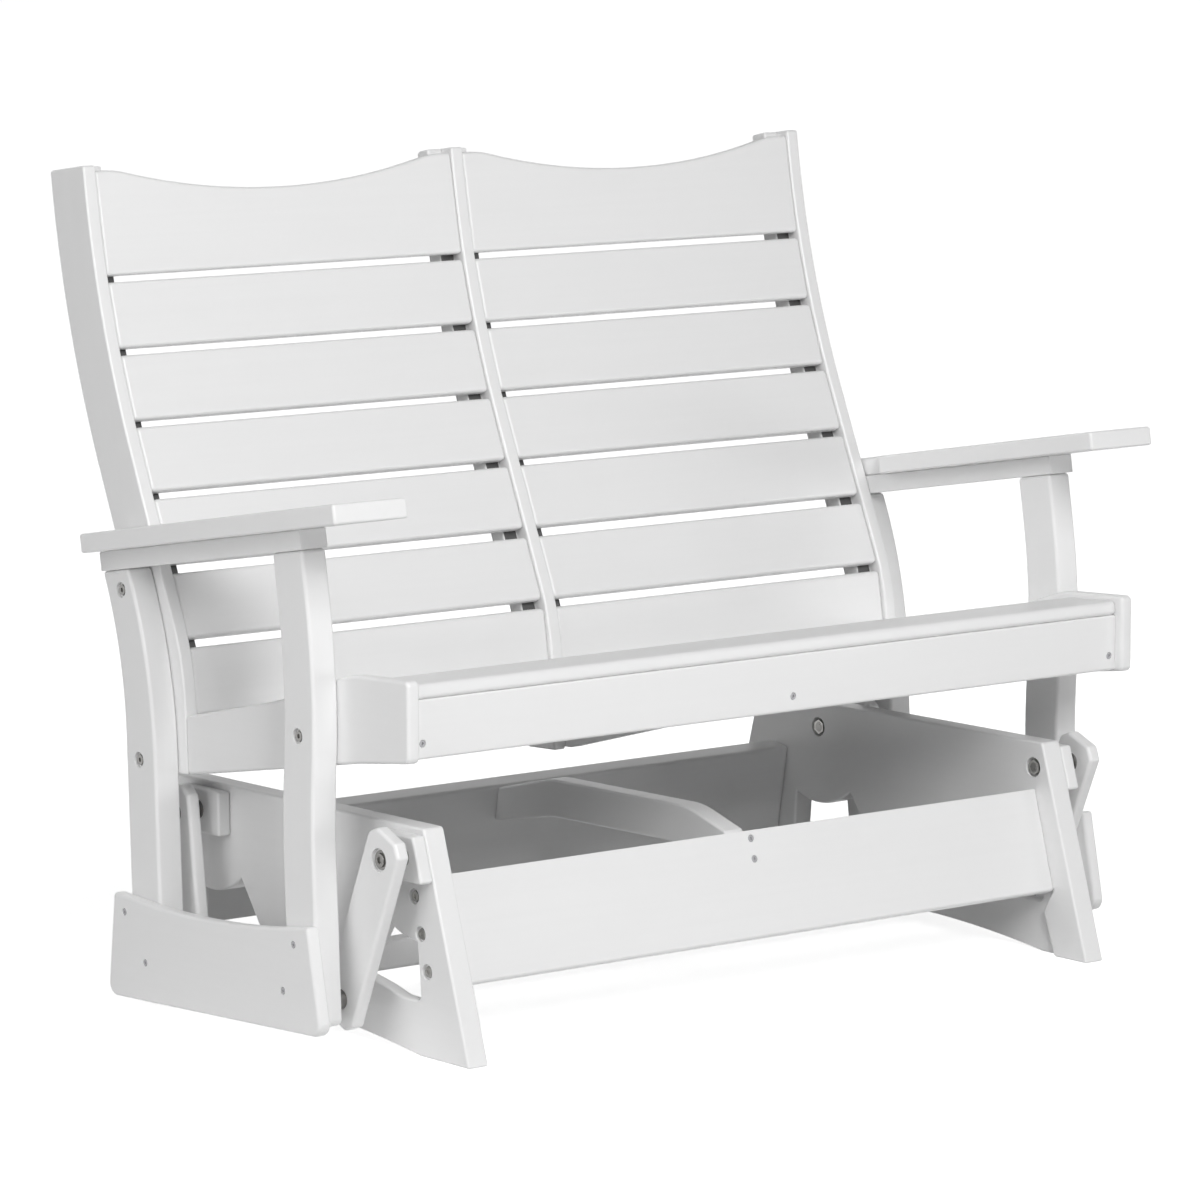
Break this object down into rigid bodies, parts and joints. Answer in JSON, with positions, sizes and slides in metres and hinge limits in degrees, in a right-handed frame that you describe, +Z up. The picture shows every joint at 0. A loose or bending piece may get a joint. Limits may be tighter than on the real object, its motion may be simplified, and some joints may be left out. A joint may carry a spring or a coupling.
{
  "type": "glider bench",
  "caption": "Glider bench of white plastic lumber: a dished slatted seat with a tall curved back and flat armrests hangs on swing arms from a low A-shaped base.",
  "frame": {"origin": "middle of the bench's footprint, on the floor", "axes": "+X to the right as seen from the front (the left of a person who sits on the bench), +Y from the seat front to the back, +Z up"},
  "size_m": [1.361, 0.7968, 1.0771],
  "materials": {
    "lumber": "matte",
    "stainless": "brushed",
    "screws": "brushed",
    "bushes": "matte"
  },
  "bodies": {
    "base": {"end_frame_left": "lumber", "end_frame_right": "lumber", "front_rail": "lumber", "rear_rail": "lumber", "centre_brace": "lumber", "lower_stretcher": "lumber", "pivot_block_front_left": "lumber", "pivot_block_front_right": "lumber", "pivot_block_rear_left": "lumber", "pivot_block_rear_right": "lumber", "upper_spacers": "stainless", "upper_pivot_bolts": "stainless", "upper_pivot_nuts": "stainless", "rail_bolts": "stainless", "brace_screws": "screws"},
    "arm_front_left": {"swing_arm_front_left": "lumber", "bushes_front_left": "bushes"},
    "arm_front_right": {"swing_arm_front_right": "lumber", "bushes_front_right": "bushes"},
    "arm_rear_left": {"swing_arm_rear_left": "lumber", "bushes_rear_left": "bushes"},
    "arm_rear_right": {"swing_arm_rear_right": "lumber", "bushes_rear_right": "bushes"},
    "seat": {"side_board_left": "lumber", "side_board_right": "lumber", "centre_support": "lumber", "seat_strips": "lumber", "front_apron": "lumber", "seat_slat_1": "lumber", "seat_slat_2": "lumber", "seat_slat_3": "lumber", "seat_slat_4": "lumber", "seat_slat_5": "lumber", "back_post_left": "lumber", "back_post_centre": "lumber", "back_post_right": "lumber", "back_slats_1": "lumber", "back_slats_2": "lumber", "back_slats_3": "lumber", "back_slats_4": "lumber", "back_slats_5": "lumber", "back_slats_6": "lumber", "top_slats": "lumber", "back_strips": "lumber", "arm_post_front_left": "lumber", "arm_post_front_right": "lumber", "arm_post_rear_left": "lumber", "arm_post_rear_right": "lumber", "lower_plate_left": "lumber", "lower_plate_right": "lumber", "arm_support_left": "lumber", "arm_support_right": "lumber", "armrest_left": "lumber", "armrest_right": "lumber", "post_bolts": "stainless", "plate_screws": "screws", "apron_screws": "screws", "lower_pivot_bolts": "stainless", "lower_spacers": "stainless", "lower_pivot_nuts": "stainless"}
  },
  "joints": [
    {"name": "front_left_swing", "type": "hinge", "parent": "base", "child": "arm_front_left", "pos_m": [-0.581, -0.2909, 0.2526], "axis": [1, 0, 0], "range_deg": [-20, 4]},
    {"name": "front_right_swing", "type": "hinge", "parent": "base", "child": "arm_front_right", "pos_m": [0.581, -0.2909, 0.2526], "axis": [1, 0, 0], "range_deg": [-20, 4]},
    {"name": "rear_left_swing", "type": "hinge", "parent": "base", "child": "arm_rear_left", "pos_m": [-0.581, 0.1526, 0.2526], "axis": [1, 0, 0], "range_deg": [-20.1, 4.1]},
    {"name": "rear_right_swing", "type": "hinge", "parent": "base", "child": "arm_rear_right", "pos_m": [0.581, 0.1526, 0.2526], "axis": [1, 0, 0], "range_deg": [-20.1, 4.1]},
    {"name": "seat_glide", "type": "hinge", "parent": "arm_front_left", "child": "seat", "pos_m": [-0.581, -0.21052, 0.06597], "axis": [1, 0, 0], "range_deg": [-5.3, 26.4]}
  ],
  "couplings": [
    {"joint": "front_right_swing", "follows": "front_left_swing", "ratio": 1},
    {"joint": "rear_left_swing", "follows": "front_left_swing", "ratio": 0.9993},
    {"joint": "rear_right_swing", "follows": "front_left_swing", "ratio": 0.9993},
    {"joint": "seat_glide", "follows": "front_left_swing", "ratio": -1.3127}
  ]
}
